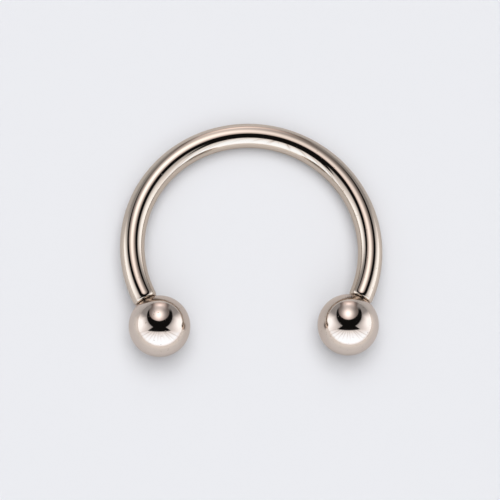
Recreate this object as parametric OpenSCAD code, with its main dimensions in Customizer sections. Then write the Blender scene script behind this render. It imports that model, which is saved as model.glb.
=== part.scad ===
// Horseshoe barbell: an open ring of round wire with a ball screwed onto each end.
// It lies on its side as on a table: the crown of the curve and both balls touch the ground.
// X runs across the mouth, +Y points to the crown, +Z is up. Millimetres.

/* [Bar] */
// Diameter of the round wire (14 gauge)
wire_d = 1.6; // [1.4:0.05:2.4]
// Diameter of the free circle inside the curve
inside_d = 14; // [10:0.5:20]
// Angle of each bar end below the widest line of the curve, in degrees
end_drop = 25.5; // [10:0.5:40]
// Radius that rounds the rim of each bar end
rim_round = 0.14; // [0.05:0.01:0.3]
// Step from the wire down to the turned rim, on the radius, and the rim's straight length
rim_step = 0.01; // [0.005:0.001:0.03]

/* [Screw post] */
// Diameter of the post, over the crest of its thread
post_d = 1.2; // [0.8:0.05:1.3]
// Length of the post beyond the bar end
post_length = 1.8; // [1.2:0.1:2.4]
// Chamfer round the tip of the post
post_chamfer = 0.12; // [0.04:0.01:0.3]

/* [Balls] */
// Diameter of each ball
ball_d = 4; // [3:0.1:6]
// Clearance between the post and the wall of its hole, on the radius
hole_clearance = 0.03; // [0.02:0.01:0.08]
// Chamfer round the mouth of the hole
mouth_chamfer = 0.05; // [0.02:0.01:0.2]
// Depth of the hole beyond the tip of the post
hole_spare = 0.15; // [0.05:0.05:0.4]
// Full angle of the cone that the drill leaves at the bottom of the hole, in degrees
drill_angle = 118; // [90:1:135]
// Gap between the bar end and the mouth of the hole when the ball is screwed home
seat_gap = 0.04; // [0.02:0.01:0.1]

/* [Hidden] */
$fn = 96;

steel = [0.78, 0.72, 0.68];

// Bar
wire_r = wire_d / 2;
curve_r = (inside_d + wire_d) / 2;
post_r = post_d / 2;
turned_r = wire_r - rim_step;
rim_r = min(rim_round, (turned_r - post_r) * 0.9);
root_depth = wire_r / 4;

// Ball and its hole
ball_r = ball_d / 2;
hole_r = post_r + hole_clearance;
mouth_r = hole_r + mouth_chamfer;
mouth_height = sqrt(pow(ball_r, 2) - pow(mouth_r, 2));
drill_point = hole_r / tan(drill_angle / 2);
hole_depth = post_length - seat_gap + hole_spare;

// From the end of the wire's curve, along the post: the shoulder, then the ball's centre
shoulder = rim_step + rim_r;
post_tip = shoulder + post_length;
ball_centre = shoulder + seat_gap + mouth_height;

// Height of the ball's centre in the plane of the curve, from the curve's own centre
ball_y = -curve_r * sin(end_drop) - ball_centre * cos(end_drop);

// The plane of the curve leans until the crown and the balls all touch the ground
lean = asin((ball_r - wire_r) / (curve_r - ball_y));
front_y = (ball_y - curve_r) * cos(lean) - ball_r;
crown_y = -(wire_r + front_y) / 2;

// Moves from the plane of the curve, centred on the curve, to the resting place
module at_rest() {
    translate([0, crown_y, wire_r])
        rotate([-lean, 0, 0])
            translate([0, -curve_r, 0])
                children();
}

// Moves from the origin to a bar end, +Z leaving the wire along the post. side is 1 or -1
module at_bar_end(side) {
    mirror([side < 0 ? 1 : 0, 0, 0])
        rotate([0, 0, -end_drop])
            translate([curve_r, 0, 0])
                rotate([90, 0, 0])
                    children();
}

// Half section of a bar end: its root inside the wire, the rounded shoulder, and the post with its tip
module end_section() {
    polygon([
        [0, -root_depth],
        [turned_r, -root_depth],
        [turned_r, rim_step],
        [turned_r - rim_r, rim_step],
        [turned_r - rim_r, shoulder],
        [post_r, shoulder],
        [post_r, post_tip - post_chamfer],
        [post_r - post_chamfer, post_tip],
        [0, post_tip]
    ]);
    intersection() {
        translate([turned_r - rim_r, rim_step])
            circle(r = rim_r);
        translate([0, rim_step])
            square([turned_r, rim_r]);
    }
}

module bar_end() {
    rotate_extrude()
        end_section();
}

// The wire of the curve, from one bar end round the crown to the other
module wire_curve() {
    rotate([0, 0, -end_drop])
        rotate_extrude(angle = 180 + 2 * end_drop)
            translate([curve_r, 0])
                circle(r = wire_r);
}

module curved_bar() {
    color(steel)
        at_rest() {
            wire_curve();
            at_bar_end(1)
                bar_end();
            at_bar_end(-1)
                bar_end();
        }
}

// The drilled hole: its chamfered mouth, its straight wall and the drill's cone. z = 0 is the mouth,
// and the chamfer's cone runs on past it, clear of the ball
module ball_hole() {
    rotate_extrude()
        polygon([
            [0, -ball_r],
            [mouth_r + ball_r, -ball_r],
            [hole_r, mouth_chamfer],
            [hole_r, hole_depth],
            [0, hole_depth + drill_point]
        ]);
}

module ball(side) {
    color(steel)
        at_rest()
            at_bar_end(side)
                difference() {
                    translate([0, 0, ball_centre])
                        sphere(r = ball_r);
                    translate([0, 0, ball_centre - mouth_height])
                        ball_hole();
                }
}

module ball_left() {
    ball(-1);
}

module ball_right() {
    ball(1);
}

curved_bar();
ball_left();
ball_right();
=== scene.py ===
import math

import bpy
from bpy.props import FloatProperty, FloatVectorProperty, IntProperty, PointerProperty
from mathutils import Matrix, Vector


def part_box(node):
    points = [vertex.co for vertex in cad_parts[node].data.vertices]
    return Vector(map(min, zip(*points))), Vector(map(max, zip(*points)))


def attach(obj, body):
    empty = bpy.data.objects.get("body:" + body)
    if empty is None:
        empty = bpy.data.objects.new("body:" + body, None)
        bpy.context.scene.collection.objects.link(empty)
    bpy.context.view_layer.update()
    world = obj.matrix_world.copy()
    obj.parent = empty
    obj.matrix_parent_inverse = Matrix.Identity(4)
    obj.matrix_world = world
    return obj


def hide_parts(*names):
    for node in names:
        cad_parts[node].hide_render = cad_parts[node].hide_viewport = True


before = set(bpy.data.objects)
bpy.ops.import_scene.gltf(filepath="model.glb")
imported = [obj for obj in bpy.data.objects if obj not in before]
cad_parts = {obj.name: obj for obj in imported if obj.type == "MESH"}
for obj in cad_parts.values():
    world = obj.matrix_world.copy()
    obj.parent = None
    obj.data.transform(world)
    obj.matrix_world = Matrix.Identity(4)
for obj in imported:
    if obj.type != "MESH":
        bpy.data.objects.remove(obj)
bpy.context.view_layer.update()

bl_info = {
    "name": "Horseshoe Barbell",
    "version": (1, 0, 0),
    "blender": (4, 5, 0),
    "location": "3D View > Sidebar > Barbell",
    "description": "A horseshoe barbell of polished steel: a curved bar and two threaded balls",
    "category": "Add Mesh",
}

MM = 0.001
PER_METRE = 1000  # millimetres
MERGE = 1e-7  # closer than any two neighbouring points of a piece
LARGE = 1000.0  # booleans are worked this much larger, so that they stay exact
HAIR = 0.01 * MM  # sets two surfaces apart where nobody sees it
PLACE_ERROR = 0.03 * MM  # how far the finer threads and curves may end from the CAD's
DEGREE = math.radians(1)
QUARTER_TURN = math.pi / 2
FULL_TURN = 2 * math.pi
SMOOTH_ANGLE = math.radians(30)
FLAT_FACE = 0.99  # least vertical part of a level face's normal

# Modelling steps and the shape of the thread
RIM_STEPS = 16
BALL_STEPS = 96
THREAD_SIDES = 72
THREAD_DEPTH = 0.6134  # of a metric thread, in pitches
THREAD_FLANK = math.radians(30)  # half the angle between its flanks
NECK_LENGTH = 0.10 * MM  # plain part between the bar end and the thread
GROOVE_DEPTH = 0.05 * MM  # of the thread inside a ball, beyond the wall of its hole
GROOVE_LAP = 0.02 * MM  # how far the body that cuts this groove stands inside the hole

# Steel
POLISH_RELIEF = 0.0006 * MM
THREAD_RELIEF = 0.002 * MM
WIRE_EDGE = (0.85, 0.79, 0.75)
BALL_EDGE = (0.90, 0.85, 0.83)

# The tent that the steel mirrors. Places and sizes are in radii of the ball that mirrors it
LENS_SPOT = (0.02, 0.342, 0)
LENS_RADIUS = 0.415
LENS_BLUR = 0.012
LENS_BLACK = 0.008
FOOT_HALF_WIDTH = 0.205
BULB_SPOT = (0, 0.455)
BULB_SIZE = (0.335, 0.285)
LAMP_GREY = 0.18
ROOM_GREY = 0.38
CARD_WHITE = 1.68
CARD_FALL = 0.15  # how much whiter a card is beside the lens than below it
CARD_BLEND = 0.15
CARD_SLOPES = (6.9, 2.9)  # how fast a card brightens away from the lens, above it and below it
BELOW_EDGE = 0.325  # slope of the card below's near edge
BELOW_WHITE = 1.76
BELOW_DIM = 0.96  # how much dimmer it is at that edge
BELOW_FADE = 0.28
BETWEEN_FOLDS = 1.06
FOLD_DEPTHS = (0.68, 0.05)  # at that edge and far from it
THROWN_SHARE = 0.85
MIRRORED_TWICE = (0.86, 0.80, 0.75, 1)
SMALLEST = 1e-4  # keeps a square root above zero

# Camera, floor and soft boxes
SENSOR_WIDTH = 36.0
# Painted shade on the floor as the steel mirrors it: darkest within the curve, lighter beyond it
SHADE_INSIDE = 7 * MM  # the mirrored floor is shaded up to here
SHADE_OUTSIDE = 11 * MM  # and open from here
BOX_DISTANCE = 3.0
# Each box: its name, its height above the floor, its turn from the top of the picture and half the
# angle that it fills, in degrees, and its share of the light
SOFT_BOXES = (
    ("dome", 90, 0, 80, 0.31), ("overhead", 78, 0, 22, 0.37), ("back", 56, 0, 22, 0.06),
    ("front", 62, 180, 30, 0.20), ("side", 60, -60, 30, 0.06))


# ---------------------------------------------------------------- sizes and colours

def a_length(name, description, default, low, high):
    """A property with a length, given in millimetres."""
    return FloatProperty(name=name, description=description, default=default * MM,
                         min=low * MM, max=high * MM, precision=6, unit="LENGTH")


def an_angle(name, description, default, low, high):
    """A property with an angle, given in degrees."""
    return FloatProperty(name=name, description=description, default=math.radians(default),
                         min=math.radians(low), max=math.radians(high), subtype="ANGLE",
                         unit="ROTATION")


def a_count(name, description, default, low, high):
    return IntProperty(name=name, description=description, default=default, min=low, max=high)


def a_colour(name, description, default):
    return FloatVectorProperty(name=name, description=description, default=default,
                               min=0, max=1, size=3, subtype="COLOR")


def a_roughness(name, description, default):
    return FloatProperty(name=name, description=description, default=default,
                         min=0, max=1, subtype="FACTOR")


class BarbellSizes(bpy.types.PropertyGroup):
    """Sizes of the bar, its screw posts and the balls"""

    wire_diameter: a_length("Wire", "Diameter of the round wire", 1.6, 0.5, 4)
    inside_diameter: a_length("Inside", "Diameter of the free circle inside the curve", 14, 5, 40)
    end_drop: an_angle(
        "End drop", "Angle of each bar end below the widest line of the curve", 25.5, 0, 60)
    shoulder: a_length(
        "Shoulder", "Straight length from the end of the curve to the bar end's face, and how far "
        "its rounded rim draws in", 0.15, 0.02, 0.5)
    rim_length: a_length(
        "Rim length", "Length of the rounded rim along the wire, at least the shoulder's",
        0.26, 0.02, 0.6)
    post_diameter: a_length("Post", "Diameter over the crests of the screw post", 1.2, 0.4, 3)
    post_length: a_length("Post length", "Length of the post beyond the bar end", 1.8, 0.5, 5)
    post_chamfer: a_length("Tip chamfer", "Chamfer round the tip of the post", 0.12, 0, 0.4)
    pitch: a_length("Pitch", "Distance from one thread crest to the next", 0.25, 0.1, 1)
    ball_diameter: a_length("Ball", "Diameter of each ball", 4, 1, 12)
    seat_gap: a_length(
        "Seat gap", "Gap between the bar end and the mouth of the ball's hole", 0.04, 0, 0.2)
    hole_diameter: a_length(
        "Hole", "Diameter between the thread crests in the ball's hole", 1.26, 0.4, 3)
    mouth_chamfer: a_length("Mouth chamfer", "Chamfer round the mouth of the hole", 0.05, 0, 0.3)
    hole_depth: a_length("Hole depth", "Depth of the straight part of the hole", 1.91, 0.3, 6)
    drill_angle: an_angle(
        "Drill angle", "Full angle of the cone at the bottom of the hole", 118, 60, 170)
    wire_sides: a_count("Wire sides", "Points round the wire", 96, 12, 256)
    curve_steps: a_count("Curve steps", "Steps from one bar end to the other", 288, 24, 1024)
    ball_sides: a_count("Ball sides", "Points round each ball", 144, 12, 256)


class BarbellFinish(bpy.types.PropertyGroup):
    """Colours and polish of the steel"""

    steel_colour: a_colour(
        "Steel", "Colour that the polished wire gives to what it mirrors", (0.620, 0.544, 0.474))
    ball_colour: a_colour(
        "Ball steel", "The same for the balls, which are a little paler", (0.650, 0.572, 0.516))
    worn_colour: a_colour(
        "Worn steel", "Colour of the steel where it is scratched or pitted", (0.46, 0.385, 0.32))
    thread_colour: a_colour(
        "Thread", "Colour of the turned steel on the posts and in the holes", (0.50, 0.43, 0.37))
    polish: a_roughness("Polish roughness", "Roughness of the clean polished steel", 0.03)
    thread_roughness: a_roughness("Thread roughness", "Roughness of the turned steel", 0.27)


class BarbellStudio(bpy.types.PropertyGroup):
    """The camera, the floor and the light"""

    azimuth: an_angle("Azimuth", "Direction of the camera round the barbell", -23.05, -180, 180)
    elevation: an_angle("Elevation", "Height of the camera above the horizon", 77, 0, 90)
    roll: an_angle("Roll", "Turn of the camera about its own line of sight", 22.22, -180, 180)
    distance: a_length("Distance", "From the camera to the point that it looks at", 220, 20, 5000)
    picture_width: a_length(
        "Picture width", "Width of the picture at the point that it looks at", 32.755, 5, 500)
    target: FloatVectorProperty(
        name="Target", description="The point that the camera looks at",
        default=(-0.058 * MM, -0.664 * MM, 1.0 * MM), size=3, precision=6,
        subtype="TRANSLATION", unit="LENGTH")
    backdrop_colour: a_colour(
        "Backdrop", "Colour behind the barbell in views that pass over the floor",
        (0.836, 0.844, 0.876))
    floor_colour: a_colour("Floor", "Colour of the floor", (0.80, 0.807, 0.84))
    # The floor as the steel mirrors it is darker than the camera sees it: painted shade, darkest
    # within the curve
    shaded_floor_colour: a_colour(
        "Shaded floor", "Colour of the floor within the curve, as mirrored",
        (0.700, 0.687, 0.689))
    shaded_open_floor_colour: a_colour(
        "Mirrored floor", "Colour of the open floor, as mirrored", (0.742, 0.744, 0.760))
    floor_radius: a_length("Floor radius", "Radius of the round floor", 600, 20, 5000)
    floor_gloss: a_roughness("Floor gloss", "Roughness of the floor's sheen, as mirrored", 0.25)


# ---------------------------------------------------------------- modelling helpers

def clear_selection():
    """Leaves edit mode and deselects every object."""
    if bpy.context.object and bpy.context.object.mode != "OBJECT":
        bpy.ops.object.mode_set(mode="OBJECT")
    bpy.ops.object.select_all(action="DESELECT")


def only(obj):
    """Selects one object and makes it the active one."""
    clear_selection()
    obj.select_set(True)
    bpy.context.view_layer.objects.active = obj


def edit(obj, kind="VERT"):
    """Opens one object in edit mode with nothing selected."""
    only(obj)
    bpy.ops.object.mode_set(mode="EDIT")
    bpy.ops.mesh.select_mode(type=kind)
    bpy.ops.mesh.select_all(action="DESELECT")


def close_edit():
    bpy.ops.object.mode_set(mode="OBJECT")


def start_profile(name, radius, height):
    """A new object in edit mode whose mesh is one selected point at that radius and height."""
    clear_selection()
    bpy.ops.mesh.primitive_plane_add(size=MM, location=(0, 0, 0))
    obj = bpy.context.object
    obj.name = name
    bpy.ops.object.mode_set(mode="EDIT")
    bpy.ops.mesh.select_mode(type="VERT")
    bpy.ops.mesh.select_all(action="SELECT")
    bpy.ops.mesh.merge(type="CENTER")
    bpy.ops.transform.translate(value=(radius, 0, height))
    return obj


def line_through(*points):
    """Extrudes a point at the first of these (radius, height) places through the others."""
    for (r0, z0), (r1, z1) in zip(points, points[1:]):
        bpy.ops.mesh.extrude_region_move(
            TRANSFORM_OT_translate={"value": (r1 - r0, 0, z1 - z0)})


def arc(centre_height, angle, steps):
    """Spins the selected point about a centre on the Z axis, in the profile's plane."""
    bpy.ops.mesh.spin(
        steps=steps, angle=angle, center=(0, 0, centre_height), axis=(0, 1, 0))


def turn_profile(obj, sides):
    """Turns the finished profile once about Z into a closed or open shell, and leaves edit mode."""
    bpy.ops.mesh.select_all(action="SELECT")
    bpy.ops.mesh.spin(steps=sides, angle=FULL_TURN, center=(0, 0, 0), axis=(0, 0, 1))
    tidy_shell(obj)


def tidy_shell(obj):
    """Merges points that coincide and turns the faces outward."""
    if obj.mode != "EDIT":
        edit(obj)
    bpy.ops.mesh.select_all(action="SELECT")
    bpy.ops.mesh.remove_doubles(threshold=MERGE)
    bpy.ops.mesh.normals_make_consistent(inside=False)
    close_edit()


def helix_body(name, profile, pitch, turns, start):
    """A closed body with a right-handed thread, from a height upward.

    profile is one pitch of it in (radius, height), which is screwed up the Z axis."""
    obj = start_profile(name, *profile[0])
    line_through(*profile)
    close_edit()
    screw = obj.modifiers.new("thread", "SCREW")
    screw.axis = "Z"
    screw.angle = FULL_TURN
    screw.screw_offset = pitch
    screw.iterations = turns
    screw.steps = screw.render_steps = THREAD_SIDES
    only(obj)
    bpy.ops.object.modifier_apply(modifier=screw.name)
    tidy_shell(obj)
    close_ends(obj, (turns + 1) * pitch / 2)
    obj.data.transform(Matrix.Translation((0, 0, start)))
    return obj


def close_ends(obj, middle):
    """Closes both open ends of a turned body with faces that run to one point.

    middle is a height between the ends."""
    for side in (-1, 1):
        edit(obj)
        bpy.ops.mesh.select_non_manifold(extend=False)
        close_edit()
        for vertex in obj.data.vertices:
            vertex.select = vertex.select and (vertex.co.z - middle) * side > 0
        for edge in obj.data.edges:
            ends = (obj.data.vertices[i].select for i in edge.vertices)
            edge.select = edge.select and all(ends)
        bpy.ops.object.mode_set(mode="EDIT")
        bpy.ops.mesh.select_mode(type="EDGE")
        bpy.ops.mesh.extrude_region_move()
        bpy.ops.mesh.merge(type="CENTER")
        close_edit()
    tidy_shell(obj)


def resize(obj, factor):
    only(obj)
    obj.scale = (factor, factor, factor)
    bpy.ops.object.transform_apply(location=False, rotation=False, scale=True)


def combine(obj, other, operation):
    """A boolean of two closed bodies, worked large. The second is used up."""
    resize(other, LARGE)
    resize(obj, LARGE)
    cut = obj.modifiers.new("cut", "BOOLEAN")
    cut.operation = operation
    cut.object = other
    cut.solver = "EXACT"
    bpy.ops.object.modifier_apply(modifier=cut.name)
    bpy.data.objects.remove(other)
    edit(obj)
    bpy.ops.mesh.select_all(action="SELECT")
    bpy.ops.mesh.remove_doubles(threshold=MERGE * LARGE)
    bpy.ops.mesh.delete_loose()
    close_edit()
    resize(obj, 1 / LARGE)


def open_bottom(obj, height):
    """Removes the flat cap at that height, which leaves a shell."""
    edit(obj, "FACE")
    close_edit()
    for face in obj.data.polygons:
        face.select = abs(face.center.z - height) < MERGE and abs(face.normal.z) > FLAT_FACE
    bpy.ops.object.mode_set(mode="EDIT")
    bpy.ops.mesh.delete(type="FACE")
    close_edit()


def join(name, first, *others):
    """Joins objects into the first and merges the points where they meet."""
    clear_selection()
    for obj in others:
        obj.select_set(True)
    first.select_set(True)
    bpy.context.view_layer.objects.active = first
    bpy.ops.object.join()
    first.name = first.data.name = name
    tidy_shell(first)
    return first


def copy_of(obj):
    only(obj)
    bpy.ops.object.duplicate()
    return bpy.context.object


def place(obj, matrix):
    """Moves an object, and puts the move into its mesh."""
    only(obj)
    obj.matrix_world = matrix
    bpy.ops.object.transform_apply(location=True, rotation=True, scale=True)


def smooth(obj):
    only(obj)
    bpy.ops.object.shade_smooth_by_angle(angle=SMOOTH_ANGLE)


# ---------------------------------------------------------------- where things are

def ring_radius(sizes):
    return (sizes.inside_diameter + sizes.wire_diameter) / 2


def at_rest(sizes):
    """From the plane of the curve to the resting place that the CAD boxes give, and the lean."""
    wire_radius = sizes.wire_diameter / 2
    low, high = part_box("curved_bar")
    ball_low, ball_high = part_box("ball_right")
    ball = (ball_low + ball_high) / 2
    crown = Vector((0, high.y - wire_radius, wire_radius))
    lean = math.atan2(ball.z - crown.z, crown.y - ball.y)
    return (Matrix.Translation(crown) @ Matrix.Rotation(-lean, 4, "X")
            @ Matrix.Translation((0, -ring_radius(sizes), 0))), lean


def at_bar_end(sizes, side):
    """From the Z axis to a bar end, +Z leaving the wire along the post. side is 1 or -1."""
    right = (Matrix.Rotation(-sizes.end_drop, 4, "Z")
             @ Matrix.Translation((ring_radius(sizes), 0, 0))
             @ Matrix.Rotation(QUARTER_TURN, 4, "X"))
    return right if side > 0 else Matrix.Rotation(math.pi, 4, "Y") @ right


def rim_start(sizes):
    """The angle round the rim's ellipse at the end of the curve, where it has already begun."""
    return math.asin(1 - sizes.shoulder / sizes.rim_length)


def rim_point(sizes, angle):
    """The (radius, height) of a point of the rounded rim, height 0 being the end of the curve."""
    return (sizes.wire_diameter / 2 - sizes.shoulder * (1 - math.cos(angle)),
            sizes.shoulder - sizes.rim_length * (1 - math.sin(angle)))


def mouth_height(sizes):
    """From the ball's centre to the plane of its hole's mouth."""
    mouth = sizes.hole_diameter / 2 + sizes.mouth_chamfer
    return math.sqrt((sizes.ball_diameter / 2) ** 2 - mouth ** 2)


def check_place(obj, node):
    """Stops if a piece isn't where its CAD node is."""
    low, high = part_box(node)
    for axis in range(3):
        here = [v.co[axis] for v in obj.data.vertices]
        if max(abs(min(here) - low[axis]), abs(max(here) - high[axis])) > PLACE_ERROR:
            raise RuntimeError(f"{obj.name} isn't where {node} is")


def hand_over(obj, body, node):
    """Finishes a piece: checks that it stands where its CAD node is, puts it under its body and
    hides that node.
    """
    check_place(obj, node)
    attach(obj, body)
    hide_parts(node)


# ---------------------------------------------------------------- node helpers

class Wiring:
    """Adds nodes to one tree and links them."""

    def __init__(self, tree):
        self.tree = tree
        tree.nodes.clear()

    def put(self, socket, value):
        """Links the value if it is a socket too, or else sets it."""
        if isinstance(value, bpy.types.NodeSocket):
            self.tree.links.new(value, socket)
        else:
            socket.default_value = value

    def node(self, kind, inputs=(), **settings):
        """A new node. inputs holds its values in order, or by name or number in a dict."""
        made = self.tree.nodes.new(kind)
        for name, value in settings.items():
            setattr(made, name, value)
        pairs = inputs.items() if isinstance(inputs, dict) else enumerate(inputs)
        for name, value in pairs:
            self.put(made.inputs[name], value)
        return made

    def group(self, name, inputs):
        """One of the shared groups. Returns its outputs."""
        return self.node("ShaderNodeGroup", inputs, node_tree=shared_group(name)).outputs

    def math(self, operation, *values):
        return self.node("ShaderNodeMath", values, operation=operation).outputs[0]

    def plus(self, one, two):
        return self.math("ADD", one, two)

    def minus(self, one, two):
        return self.math("SUBTRACT", one, two)

    def times(self, one, two):
        return self.math("MULTIPLY", one, two)

    def vector(self, operation, *values):
        made = self.node("ShaderNodeVectorMath", values, operation=operation)
        scalar = operation in ("DOT_PRODUCT", "LENGTH", "DISTANCE")
        return made.outputs["Value" if scalar else "Vector"]

    def xyz(self, *values):
        return self.node("ShaderNodeCombineXYZ", values).outputs[0]

    def mapping(self, vector, location=(0, 0, 0), rotation=(0, 0, 0), scale=(1, 1, 1)):
        return self.node("ShaderNodeMapping", (vector, location, rotation, scale)).outputs[0]

    def noise(self, **inputs):
        """Noise over a Vector, or along W."""
        dimensions = "1D" if "W" in inputs else "3D"
        return self.node("ShaderNodeTexNoise", inputs, noise_dimensions=dimensions).outputs[0]

    def ramp(self, value, low, high, start=0.0, end=1.0):
        """start below low, end above high, and a smooth change between."""
        return self.node("ShaderNodeMapRange", (value, low, high, start, end),
                         interpolation_type="SMOOTHSTEP", clamp=True).outputs[0]

    def close_to(self, distance, reach):
        """1 up to half the reach, and 0 beyond the reach."""
        return self.ramp(distance, self.times(reach, 0.5), reach, 1.0, 0.0)

    def blend(self, factor, one, two):
        """Between two numbers."""
        return self.node("ShaderNodeMix", {0: factor, 2: one, 3: two}, data_type="FLOAT").outputs[0]

    def tint(self, factor, one, two):
        """Between two colours."""
        return self.node("ShaderNodeMix", {0: factor, 6: one, 7: two}, data_type="RGBA").outputs[2]


def node_group(name, inputs, outputs):
    """A new shader node group: the group, its wiring, the values given to it and its outputs.

    inputs and outputs hold the name and the kind of each socket."""
    tree = bpy.data.node_groups.new(name, "ShaderNodeTree")
    for direction, sockets in (("INPUT", inputs), ("OUTPUT", outputs)):
        for label, kind in sockets.items():
            tree.interface.new_socket(label, in_out=direction, socket_type=f"NodeSocket{kind}")
    w = Wiring(tree)
    return tree, w, w.node("NodeGroupInput").outputs, w.node("NodeGroupOutput").inputs


def new_material(name):
    material = bpy.data.materials.new(name)
    material.use_nodes = True
    return material, Wiring(material.node_tree)


# ---------------------------------------------------------------- steel

def ring_coordinates_group():
    """Object coordinates laid into the plane of the curve, in millimetres.

    Flat starts at the curve's centre. Across And Along runs across the wire twice and then along
    it. Post Height runs along each post from the end of the curve."""
    tree, w, given, out = node_group(
        "ring_coordinates",
        {"Vector": "Vector", "Location": "Vector", "Lean": "Float", "Ring Radius": "Float",
         "End Drop": "Float"},
        {"Across And Along": "Vector", "Post Height": "Float", "Flat": "Vector"})
    turn = w.xyz(given["Lean"], 0.0, 0.0)
    flat = w.mapping(given["Vector"], given["Location"], turn, (PER_METRE, PER_METRE, PER_METRE))
    x, y, z = w.node("ShaderNodeSeparateXYZ", (flat,)).outputs
    spread = w.math("SQRT", w.plus(w.times(x, x), w.times(y, y)))
    across = w.minus(spread, given["Ring Radius"])
    along = w.times(w.math("ARCTAN2", x, y), given["Ring Radius"])
    w.put(out["Across And Along"], w.xyz(across, z, along))
    # Each post leaves the curve along its tangent, so its height is a plain sum of |x| and y
    drop = given["End Drop"]
    height = w.plus(w.times(w.math("ABSOLUTE", x), w.math("SINE", drop)),
                    w.times(y, w.math("COSINE", drop)))
    w.put(out["Post Height"], w.times(height, -1.0))
    w.put(out["Flat"], flat)
    return tree


def drawn_lines_group():
    """Fine lines that run the length of the wire, as drawing through a die leaves them."""
    tree, w, given, out = node_group(
        "drawn_lines", {"Vector": "Vector", "Fineness": "Float"},
        {"Lines": "Float", "Height": "Float"})
    stretched = w.vector("MULTIPLY", given["Vector"], (1.0, 1.0, 0.025))
    fine = w.noise(Vector=stretched, Scale=given["Fineness"], Detail=3.0, Roughness=0.6)
    coarse = w.noise(Vector=stretched, Scale=2.2, Detail=1.0)
    w.put(out["Lines"], w.times(w.ramp(fine, 0.60, 0.74), w.ramp(coarse, 0.42, 0.62)))
    w.put(out["Height"], fine)
    return tree


def hair_scratches_group():
    """Short scratches as thin as a hair, in three directions.

    They run through the solid, so where one only touches the surface it leaves a speck."""
    tree, w, given, out = node_group(
        "hair_scratches",
        {"Vector": "Vector", "Scale": "Float", "Width": "Float", "Length": "Float"},
        {"Scratches": "Float"})
    thin = w.xyz(1.0, w.math("DIVIDE", 1.0, given["Length"]), 1.0)
    total = 0.0
    for turn in ((0.4, 0.3, 0.2), (1.1, -0.5, 2.4), (-0.8, 0.9, 1.3)):
        stretched = w.vector("MULTIPLY", w.mapping(given["Vector"], rotation=turn), thin)
        away = w.node("ShaderNodeTexVoronoi", {
            "Vector": stretched, "Scale": given["Scale"]}).outputs["Distance"]
        total = w.math("MAXIMUM", total, w.close_to(away, given["Width"]))
    w.put(out["Scratches"], total)
    return tree


def pits_group():
    """Tiny pits, one in each cell. Only a share of the cells, picked by chance, has one."""
    tree, w, given, out = node_group(
        "pits", {"Vector": "Vector", "Scale": "Float", "Size": "Float", "Share": "Float"},
        {"Pits": "Float"})
    cell = w.node("ShaderNodeTexVoronoi", {
        "Vector": given["Vector"], "Scale": given["Scale"]}).outputs
    chance = w.node("ShaderNodeSeparateColor", (cell["Color"],)).outputs[0]
    kept = w.math("LESS_THAN", chance, given["Share"])
    w.put(out["Pits"], w.times(kept, w.close_to(cell["Distance"], given["Size"])))
    return tree


GROUP_MAKERS = {"ring_coordinates": ring_coordinates_group, "drawn_lines": drawn_lines_group,
                "hair_scratches": hair_scratches_group, "pits": pits_group}


def shared_group(name):
    """A node group that the steel materials share, made when it is first asked for."""
    return bpy.data.node_groups.get(name) or GROUP_MAKERS[name]()


def steel_start(name, sizes):
    """A new steel material: its wiring, and its coordinates in the plane of the curve."""
    _material, w = new_material(name)
    matrix, lean = at_rest(sizes)
    return w, w.group("ring_coordinates", {
        "Vector": w.node("ShaderNodeTexCoord").outputs["Object"],
        "Location": matrix.inverted().translation * PER_METRE, "Lean": lean,
        "Ring Radius": ring_radius(sizes) * PER_METRE, "End Drop": sizes.end_drop})


def steel_end(w, colour, roughness, height, depth, edge):
    """The shader that every steel material ends with. edge tints what it mirrors edge-on."""
    bump = w.node("ShaderNodeBump", {"Strength": 1.0, "Distance": depth, "Height": height})
    shader = w.node("ShaderNodeBsdfPrincipled", {
        "Base Color": colour, "Metallic": 1.0, "Roughness": roughness, "Normal": bump.outputs[0],
        "Specular Tint": (*edge, 1)})
    w.node("ShaderNodeOutputMaterial", {"Surface": shader.outputs[0]})


def polished_end(w, finish, colour, wear, dulling, cloud, height, edge):
    """Ends a polished material.

    Worn steel shows where wear is 1, rougher by dulling, and cloud makes the polish uneven."""
    tone = w.tint(wear, (*colour, 1), (*finish.worn_colour, 1))
    clean = w.ramp(cloud, 0.35, 0.7, finish.polish, finish.polish + 0.05)
    steel_end(w, tone, w.plus(clean, w.times(wear, dulling)), height, POLISH_RELIEF, edge)


def wire_steel(sizes, finish):
    """Polished wire: drawing lines along it, a few hair scratches and pits."""
    w, at = steel_start("polished_wire", sizes)
    drawn = w.group("drawn_lines", {"Vector": at["Across And Along"], "Fineness": 9.0})
    hairs = w.group("hair_scratches", {
        "Vector": at["Flat"], "Scale": 2.8, "Width": 0.06, "Length": 28.0})[0]
    pits = w.group("pits", {"Vector": at["Flat"], "Scale": 3.6, "Size": 0.17, "Share": 0.14})[0]
    cloud = w.noise(Vector=at["Flat"], Scale=0.7, Detail=3.0)
    wear = w.math("MAXIMUM", w.times(drawn["Lines"], 0.35),
                  w.math("MAXIMUM", w.times(hairs, 0.7), pits))
    height = w.minus(w.times(drawn["Height"], 0.35),
                     w.plus(w.times(hairs, 0.8), w.times(pits, 1.5)))
    polished_end(w, finish, finish.steel_colour, wear, 0.22, cloud, height, WIRE_EDGE)


def ball_steel(sizes, finish):
    """Polished balls: hair scratches in every direction and more pits."""
    w, at = steel_start("polished_ball", sizes)
    hairs = w.group("hair_scratches", {
        "Vector": at["Flat"], "Scale": 2.6, "Width": 0.065, "Length": 30.0})[0]
    pits = w.group("pits", {"Vector": at["Flat"], "Scale": 4.2, "Size": 0.2, "Share": 0.4})[0]
    cloud = w.noise(Vector=at["Flat"], Scale=0.9, Detail=4.0)
    wear = w.math("MAXIMUM", w.times(hairs, 0.8), pits)
    height = w.minus(w.times(cloud, 0.3), w.plus(hairs, w.times(pits, 1.5)))
    polished_end(w, finish, finish.ball_colour, wear, 0.2, cloud, height, BALL_EDGE)


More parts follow.
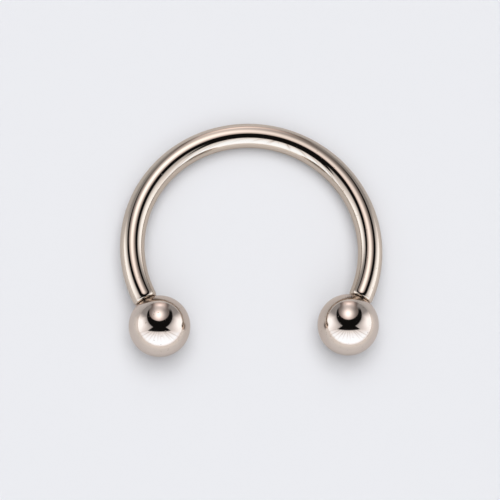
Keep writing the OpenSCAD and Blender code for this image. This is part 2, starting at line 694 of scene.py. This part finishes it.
def thread_steel(sizes, finish):
    """Turned steel of the posts and holes: rings from the tool, duller than the polished steel."""
    if "turned_thread" in bpy.data.materials:
        return
    w, at = steel_start("turned_thread", sizes)
    rings = w.noise(W=at["Post Height"], Scale=30.0, Detail=2.0)
    cloud = w.noise(Vector=at["Flat"], Scale=4.0, Detail=3.0)
    colour = w.tint(w.ramp(cloud, 0.3, 0.75), (*finish.thread_colour, 1), (*finish.worn_colour, 1))
    rough = w.plus(w.ramp(rings, 0.3, 0.7, -0.05, 0.05), finish.thread_roughness)
    steel_end(w, colour, rough, rings, THREAD_RELIEF, WIRE_EDGE)


def give_materials(obj, polished, is_thread=None):
    """Gives a mesh its polished steel, and turned steel where a face's centre passes the test."""
    for name in (polished, "turned_thread"):
        obj.data.materials.append(bpy.data.materials[name])
    if is_thread:
        for face in obj.data.polygons:
            face.material_index = int(is_thread(face.center))


# ---------------------------------------------------------------- pieces

class BARBELL_OT_curved_bar(bpy.types.Operator):
    """Add the curved bar: round wire with a rounded shoulder and a threaded post at each end"""

    bl_idname = "barbell.curved_bar"
    bl_label = "Curved Bar"

    def shoulder(self, sizes, neck):
        """The rounded rim and the face of a bar end, down to the neck of the post."""
        first = rim_start(sizes)
        shell = start_profile("shoulder", *rim_point(sizes, first))
        line_through(*(rim_point(sizes, first + (QUARTER_TURN - first) * step / RIM_STEPS)
                       for step in range(RIM_STEPS + 1)), (neck, sizes.shoulder))
        turn_profile(shell, sizes.wire_sides)
        return shell

    def post(self, sizes, root, neck):
        """The threaded post, a plain neck at its foot."""
        crest = sizes.post_diameter / 2
        foot = sizes.shoulder
        tip = foot + sizes.post_length
        run_in = foot + NECK_LENGTH
        post = start_profile("post", 0, foot)
        line_through((0, foot), (neck, foot), (neck, run_in), (crest, run_in + crest - neck),
                     (crest, tip - sizes.post_chamfer), (crest - sizes.post_chamfer, tip), (0, tip))
        turn_profile(post, sizes.wire_sides)
        # The thread's sharp edge stands out past the post, which cuts it to a flat crest
        sharp = crest + HAIR
        flank = (sharp - root) * math.tan(THREAD_FLANK)
        middle = sizes.pitch / 2
        profile = ((root, 0), (root, middle - flank), (sharp, middle), (root, middle + flank),
                   (root, sizes.pitch))
        turns = math.ceil(sizes.post_length / sizes.pitch) + 2
        below_foot = foot - 1.1 * sizes.pitch
        thread = helix_body("thread", profile, sizes.pitch, turns, below_foot)
        combine(post, thread, "INTERSECT")
        open_bottom(post, foot)
        return post

    def bar_end(self, sizes):
        """The shoulder and the post, along +Z from the end of the wire."""
        root = sizes.post_diameter / 2 - THREAD_DEPTH * sizes.pitch
        neck = root - HAIR
        end = join("bar_end", self.shoulder(sizes, neck), self.post(sizes, root, neck))
        give_materials(end, "polished_wire", lambda point: point.z > sizes.shoulder + MERGE)
        return end

    def narrow_ends(self, bar, sizes):
        """Draws in the last ring at each end of the curve, where the rim's rounding has begun."""
        share = rim_point(sizes, rim_start(sizes))[0] / (sizes.wire_diameter / 2)
        for side in (1, -1):
            end = at_bar_end(sizes, side)
            to_end = end.inverted()
            edit(bar)
            close_edit()
            for vertex in bar.data.vertices:
                here = to_end @ vertex.co
                vertex.select = abs(here.z) < MERGE and here.length < sizes.wire_diameter
            bpy.ops.object.mode_set(mode="EDIT")
            bpy.ops.transform.resize(value=(share, share, share), center_override=end.translation)
            close_edit()

    def wire(self, sizes):
        """The curve of the wire, open at both ends, in its own plane."""
        radius = ring_radius(sizes)
        drop = sizes.end_drop
        clear_selection()
        bpy.ops.mesh.primitive_circle_add(
            vertices=sizes.wire_sides, radius=sizes.wire_diameter / 2,
            location=(radius * math.cos(drop), -radius * math.sin(drop), 0),
            rotation=(QUARTER_TURN, 0, -drop))
        bar = bpy.context.object
        bpy.ops.object.transform_apply(location=True, rotation=True, scale=True)
        bpy.ops.object.mode_set(mode="EDIT")
        bpy.ops.mesh.select_all(action="SELECT")
        bpy.ops.mesh.spin(steps=sizes.curve_steps, angle=-(math.pi + 2 * drop),
                          center=(0, 0, 0), axis=(0, 0, 1))
        close_edit()
        self.narrow_ends(bar, sizes)
        give_materials(bar, "polished_wire")
        return bar

    def execute(self, context):
        sizes = context.scene.barbell_sizes
        finish = context.scene.barbell_finish
        wire_steel(sizes, finish)
        thread_steel(sizes, finish)
        bar = self.wire(sizes)
        right = self.bar_end(sizes)
        left = copy_of(right)
        place(right, at_bar_end(sizes, 1))
        place(left, at_bar_end(sizes, -1))
        bar = join("steel_bar", bar, right, left)
        place(bar, at_rest(sizes)[0])
        smooth(bar)
        hand_over(bar, "bar", "curved_bar")
        return {"FINISHED"}


class BARBELL_OT_balls(bpy.types.Operator):
    """Add the two balls, each with a blind threaded hole that faces its bar end"""

    bl_idname = "barbell.balls"
    bl_label = "Balls"

    def hollow(self, sizes, seat, mouth):
        """The threaded hole from its mouth at that height, as a shell that is open at the mouth."""
        wall = sizes.hole_diameter / 2
        bottom = seat + sizes.hole_depth
        hollow = start_profile("hollow", 0, seat)
        line_through((0, seat), (mouth, seat), (wall, seat + sizes.mouth_chamfer), (wall, bottom),
                     (0, bottom + wall / math.tan(sizes.drill_angle / 2)))
        turn_profile(hollow, sizes.ball_sides)
        # Over one pitch: inside the wall, out along a flank, the groove's flat bottom, and back
        pitch = sizes.pitch
        inner, outer = wall - GROOVE_LAP, wall + GROOVE_DEPTH
        profile = ((inner, 0), (inner, 0.2 * pitch), (outer, 0.42 * pitch), (outer, 0.58 * pitch),
                   (inner, 0.8 * pitch), (inner, pitch))
        turns = math.floor(sizes.hole_depth / pitch) - 1
        groove = helix_body("groove", profile, pitch, turns, seat + GROOVE_LAP)
        combine(hollow, groove, "UNION")
        open_bottom(hollow, seat)
        return hollow

    def one_ball(self, sizes):
        """A ball above the bar end on the Z axis, its hole facing down."""
        radius = sizes.ball_diameter / 2
        mouth = sizes.hole_diameter / 2 + sizes.mouth_chamfer
        seat = sizes.shoulder + sizes.seat_gap
        centre = seat + mouth_height(sizes)
        shell = start_profile("shell", mouth, seat)
        arc(centre, math.pi - math.asin(mouth / radius), BALL_STEPS)
        turn_profile(shell, sizes.ball_sides)
        ball = join("ball", shell, self.hollow(sizes, seat, mouth))
        middle = Vector((0, 0, centre))
        give_materials(ball, "polished_ball",
                       lambda point: (point - middle).length <= radius - HAIR)
        return ball

    def execute(self, context):
        sizes = context.scene.barbell_sizes
        finish = context.scene.barbell_finish
        ball_steel(sizes, finish)
        thread_steel(sizes, finish)
        rest, _lean = at_rest(sizes)
        right = self.one_ball(sizes)
        left = copy_of(right)
        for ball, side, name in ((right, 1, "right"), (left, -1, "left")):
            ball.name = ball.data.name = f"steel_ball_{name}"
            place(ball, rest @ at_bar_end(sizes, side))
            smooth(ball)
            hand_over(ball, f"{name}_ball", f"ball_{name}")
        return {"FINISHED"}


# ---------------------------------------------------------------- stage

def camera_axes(studio):
    """The camera's right, up and back directions."""
    azimuth, elevation, roll = studio.azimuth, studio.elevation, studio.roll
    back = Vector((math.sin(azimuth) * math.cos(elevation),
                   -math.cos(azimuth) * math.cos(elevation), math.sin(elevation)))
    level = Vector((math.cos(azimuth), math.sin(azimuth), 0))
    upright = back.cross(level)
    right = level * math.cos(roll) + upright * math.sin(roll)
    up = upright * math.cos(roll) - level * math.sin(roll)
    return right, up, back


class Tent:
    """What the steel mirrors: white cards round the camera, its dark lens and a lamp over that."""

    def __init__(self, tree, studio):
        w = self.w = Wiring(tree)
        self.direction = w.node("ShaderNodeTexCoord").outputs["Generated"]
        self.x, self.y, self.z = (
            w.vector("DOT_PRODUCT", self.direction, axis) for axis in camera_axes(studio))
        # The place of each direction on a mirror ball, in ball radii from its middle
        reach = w.math("DIVIDE", 1.0, w.math("SQRT", w.math(
            "MAXIMUM", w.times(w.plus(self.z, 1.0), 2.0), SMALLEST)))
        self.across = w.times(self.x, reach)
        self.upward = w.times(self.y, reach)
        self.spot = w.xyz(self.across, self.upward, 0.0)
        self.off_lens = w.minus(w.vector("DISTANCE", self.spot, LENS_SPOT), LENS_RADIUS)
        # 0 above the lens and 180 degrees below it
        self.round_lens = w.math("ABSOLUTE", w.math("ARCTAN2", self.x, self.y))

    def side_cards(self):
        """Cards at the sides, brighter away from the lens, and the grey of the room above."""
        w = self.w
        slope = w.ramp(self.round_lens, 72 * DEGREE, 108 * DEGREE, *CARD_SLOPES)
        most = w.minus(w.ramp(self.round_lens, 50 * DEGREE, 74 * DEGREE, ROOM_GREY, CARD_WHITE),
                       w.ramp(self.round_lens, 90 * DEGREE, 106 * DEGREE, 0.0, CARD_FALL))
        card = w.plus(ROOM_GREY, w.times(w.math("MAXIMUM", self.off_lens, 0.0), slope))
        return w.math("SMOOTH_MIN", card, most, CARD_BLEND)

    def folds(self, past_edge):
        """Faint folds that run out from the near edge of the card below."""
        w = self.w
        round_card = w.math("ARCTAN2", self.x, w.times(self.y, -1.0))
        wander = w.noise(W=round_card, Scale=9.0, Detail=2.0)
        to_fold = w.node("ShaderNodeTexVoronoi", {
            "W": w.plus(round_card, w.times(wander, 0.12)), "Scale": 4.2, "Randomness": 0.8},
            voronoi_dimensions="1D", feature="DISTANCE_TO_EDGE").outputs[0]
        lines = w.times(w.ramp(to_fold, 0.0, 0.20, 1.0, 0.0), w.ramp(wander, 0.38, 0.60, 0.45, 1.0))
        return w.times(lines, w.ramp(past_edge, 0.05, 0.80, *FOLD_DEPTHS))

    def card_below(self):
        """The card below, cut straight toward the camera: where it is, and its light."""
        w = self.w
        past_edge = w.minus(w.times(self.y, -1.0), w.times(self.z, BELOW_EDGE))
        where = w.times(w.ramp(past_edge, -0.01, 0.05),
                        w.ramp(self.round_lens, 105.5 * DEGREE, 109.5 * DEGREE))
        fade = w.math("EXPONENT", w.math("DIVIDE", past_edge, -BELOW_FADE))
        glow = w.minus(BELOW_WHITE, w.times(BELOW_DIM, fade))
        glow = w.times(glow, w.minus(BETWEEN_FOLDS, self.folds(past_edge)))
        # It darkens a little where it meets the table
        low = w.node("ShaderNodeSeparateXYZ", (self.direction,)).outputs[2]
        return where, w.times(glow, w.ramp(low, 0.0, 0.15, 0.76, 1.0))

    def dark_lens(self, below):
        """Where it is dark: the lens, and its foot that spreads to the edge of the card below."""
        w = self.w
        disc = w.times(w.ramp(self.off_lens, -LENS_BLUR, LENS_BLUR, 1.0, 0.0),
                       w.ramp(self.upward, 0.46, 0.62, 1.0, 0.0))
        flare = w.times(w.math("MAXIMUM", w.minus(-0.02, self.upward), 0.0), 1.5)
        beyond = w.minus(w.math("ABSOLUTE", w.minus(self.across, 0.005)),
                         w.plus(flare, FOOT_HALF_WIDTH))
        foot = w.times(w.ramp(beyond, -LENS_BLUR, LENS_BLUR, 1.0, 0.0),
                       w.times(w.ramp(self.upward, -0.01, 0.02, 1.0, 0.0), w.minus(1.0, below)))
        return w.math("MAXIMUM", disc, foot)

    def from_spot(self, centre, spread):
        """How far each direction is from a place on the mirror ball, 1 being its spread."""
        w = self.w
        off = w.vector("SUBTRACT", self.spot, (*centre, 0))
        return w.vector("LENGTH", w.vector("MULTIPLY", off, (1 / spread[0], 1 / spread[1], 0)))

    def highlight(self, centre, spread, strength):
        """A soft round highlight."""
        w = self.w
        away = self.from_spot(centre, spread)
        return w.times(w.math("EXPONENT", w.times(w.times(away, away), -1.0)), strength)

    def lamp(self, from_bulb):
        """The lamp above the lens and its lit column: where they are, and their light."""
        w = self.w
        from_stem = w.math("ABSOLUTE", w.minus(self.across, LENS_SPOT[0]))
        width = w.ramp(self.upward, 0.50, 0.70, 0.24, 0.30)
        column = w.times(w.ramp(w.minus(from_stem, width), -0.05, 0.03, 1.0, 0.0),
                         w.ramp(self.upward, 0.40, 0.46))
        where = w.math("MAXIMUM", w.ramp(from_bulb, 0.92, 1.01, 1.0, 0.0), column)
        core = self.highlight((-0.015, 0.375), (0.16, 0.175), 1.95)
        second = self.highlight((0.017, 0.69), (0.11, 0.045), 0.82)
        body = w.times(w.ramp(self.upward, 0.50, 0.66, 0.0, 0.46),
                       w.ramp(from_stem, 0.12, 0.26, 1.0, 0.0))
        return where, w.plus(w.plus(core, second), w.plus(body, LAMP_GREY))

    def light_and_tone(self):
        """The strength and the colour of the light from every direction."""
        w = self.w
        below, glow = self.card_below()
        light = w.blend(below, self.side_cards(), glow)
        light = w.blend(self.dark_lens(below), light, LENS_BLACK)
        from_bulb = self.from_spot(BULB_SPOT, BULB_SIZE)
        lamp, shine = self.lamp(from_bulb)
        light = w.blend(lamp, light, shine)
        # Bright areas are a cooler white, most of all the card below, and the lamp is a warmer one
        cool = w.tint(below, (0.95, 1.0, 1.05, 1), (0.90, 1.0, 1.11, 1))
        tone = w.tint(w.ramp(light, 1.1, 1.75), (1.0, 0.99, 1.01, 1), cool)
        rosy = w.tint(w.ramp(from_bulb, 0.60, 1.0), (1.04, 0.98, 0.98, 1), (1.10, 0.95, 0.92, 1))
        return light, w.tint(lamp, tone, rosy)


class BARBELL_OT_stage(bpy.types.Operator):
    """Add the pale floor, the soft studio light round it and the camera"""

    bl_idname = "barbell.stage"
    bl_label = "Stage"

    def camera(self, context, studio):
        right, up, back = camera_axes(studio)
        clear_selection()
        bpy.ops.object.camera_add()
        camera = context.object
        camera.name = "camera"
        turn = Matrix((right, up, back)).transposed().to_4x4()
        stand = Vector(studio.target) + back * studio.distance
        camera.matrix_world = Matrix.Translation(stand) @ turn
        camera.data.sensor_width = SENSOR_WIDTH
        camera.data.lens = SENSOR_WIDTH * studio.distance / studio.picture_width
        camera.data.clip_start = 0.01
        camera.data.clip_end = 10.0
        context.scene.camera = camera

    def floor(self, studio):
        """A round floor, plain to the camera. The steel mirrors it with a sheen and a painted
        shade.
        """
        clear_selection()
        bpy.ops.mesh.primitive_circle_add(
            vertices=128, radius=studio.floor_radius, fill_type="NGON", location=(0, 0, 0))
        floor = bpy.context.object
        floor.name = "floor"
        material, w = new_material("pale_floor")
        path = w.node("ShaderNodeLightPath").outputs
        geometry = w.node("ShaderNodeNewGeometry").outputs
        # Painted shade: the steel mirrors a darker floor than the camera sees, and darker still
        # within the curve
        from_middle = w.vector("LENGTH", geometry["Position"])
        mirrored = w.tint(w.ramp(from_middle, SHADE_INSIDE, SHADE_OUTSIDE),
                          (*studio.shaded_floor_colour, 1), (*studio.shaded_open_floor_colour, 1))
        sheen = w.node("ShaderNodeBsdfPrincipled", {
            "Base Color": mirrored, "Roughness": studio.floor_gloss, "IOR": 1.5})
        plain = w.node("ShaderNodeBsdfDiffuse", {"Color": (*studio.floor_colour, 1)})
        seen = w.node("ShaderNodeMixShader", (
            path["Is Camera Ray"], sheen.outputs[0], plain.outputs[0]))
        # From below the floor is clear
        hidden = w.node("ShaderNodeBsdfTransparent")
        both = w.node("ShaderNodeMixShader", (
            geometry["Backfacing"], seen.outputs[0], hidden.outputs[0]))
        w.node("ShaderNodeOutputMaterial", {"Surface": both.outputs[0]})
        floor.data.materials.append(material)

    def soft_box(self, studio, name, elevation, round_lens, half_angle, share):
        """A round soft box that points at the barbell."""
        right, up, _back = camera_axes(studio)
        toward = right * math.sin(round_lens) + up * math.cos(round_lens)
        toward = Vector((toward.x, toward.y, 0)).normalized()
        along = toward * math.cos(elevation) + Vector((0, 0, math.sin(elevation)))
        clear_selection()
        bpy.ops.object.light_add(type="AREA", location=along * BOX_DISTANCE)
        box = bpy.context.object
        box.name = box.data.name = name
        box.rotation_euler = (-along).to_track_quat("-Z", "Y").to_euler()
        radius = BOX_DISTANCE * math.tan(half_angle)
        box.data.shape = "DISK"
        box.data.size = 2 * radius
        # All the boxes together bring the open floor to the tone of the backdrop
        tone = studio.backdrop_colour[1] / studio.floor_colour[1]
        box.data.energy = (share * tone * math.pi ** 2 * radius ** 2
                           / (math.sin(half_angle) ** 2 * math.sin(elevation)))
        # The steel mirrors the cards of the tent instead
        box.visible_glossy = False

    def world(self, context, studio):
        """The tent that the steel mirrors, behind a plain backdrop for the camera."""
        world = bpy.data.worlds.new("soft_studio")
        world.use_nodes = True
        world.cycles_visibility.diffuse = False
        context.scene.world = world
        tent = Tent(world.node_tree, studio)
        light, tone = tent.light_and_tone()
        w = tent.w
        path = w.node("ShaderNodeLightPath").outputs
        # The steel mirrors the cards in full, and throws most of their light onto the floor
        thrown = w.ramp(path["Diffuse Depth"], 0.0, 1.0, 1.0, THROWN_SHARE)
        # What one mirror shows of another is browner, as the steel stands between it and the cards
        tone = w.tint(w.ramp(path["Glossy Depth"], 1.0, 2.0), tone, MIRRORED_TWICE)
        cards = w.node("ShaderNodeBackground", (tone, w.times(light, thrown)))
        backdrop = w.node("ShaderNodeBackground", ((*studio.backdrop_colour, 1), 1.0))
        seen = w.node("ShaderNodeMixShader", (
            path["Is Camera Ray"], cards.outputs[0], backdrop.outputs[0]))
        w.node("ShaderNodeOutputWorld", (seen.outputs[0],))

    def execute(self, context):
        studio = context.scene.barbell_studio
        self.world(context, studio)
        self.floor(studio)
        self.camera(context, studio)
        for name, *angles, share in SOFT_BOXES:
            self.soft_box(studio, name, *(math.radians(angle) for angle in angles), share)
        context.scene.view_settings.view_transform = "Standard"
        context.scene.view_settings.look = "None"
        return {"FINISHED"}


# ---------------------------------------------------------------- add-on

class BARBELL_PT_panel(bpy.types.Panel):
    """Buttons and sizes in the 3D view's sidebar"""

    bl_idname = "BARBELL_PT_panel"
    bl_label = "Horseshoe Barbell"
    bl_space_type = "VIEW_3D"
    bl_region_type = "UI"
    bl_category = "Barbell"

    def draw(self, context):
        for operator in OPERATORS:
            self.layout.operator(operator.bl_idname)
        for group in (context.scene.barbell_sizes, context.scene.barbell_finish,
                      context.scene.barbell_studio):
            box = self.layout.box()
            for name in group.__annotations__:
                box.prop(group, name)


GROUPS = (BarbellSizes, BarbellFinish, BarbellStudio)
OPERATORS = (BARBELL_OT_stage, BARBELL_OT_curved_bar, BARBELL_OT_balls)
SCENE_PROPERTIES = {"barbell_sizes": BarbellSizes, "barbell_finish": BarbellFinish,
                    "barbell_studio": BarbellStudio}


def register():
    for item in (*GROUPS, *OPERATORS, BARBELL_PT_panel):
        bpy.utils.register_class(item)
    for name, group in SCENE_PROPERTIES.items():
        setattr(bpy.types.Scene, name, PointerProperty(type=group))


def unregister():
    for name in SCENE_PROPERTIES:
        delattr(bpy.types.Scene, name)
    for item in (BARBELL_PT_panel, *reversed(OPERATORS), *reversed(GROUPS)):
        bpy.utils.unregister_class(item)


def main():
    register()
    bpy.ops.barbell.stage()
    bpy.ops.barbell.curved_bar()
    bpy.ops.barbell.balls()


if __name__ == "__main__":
    main()
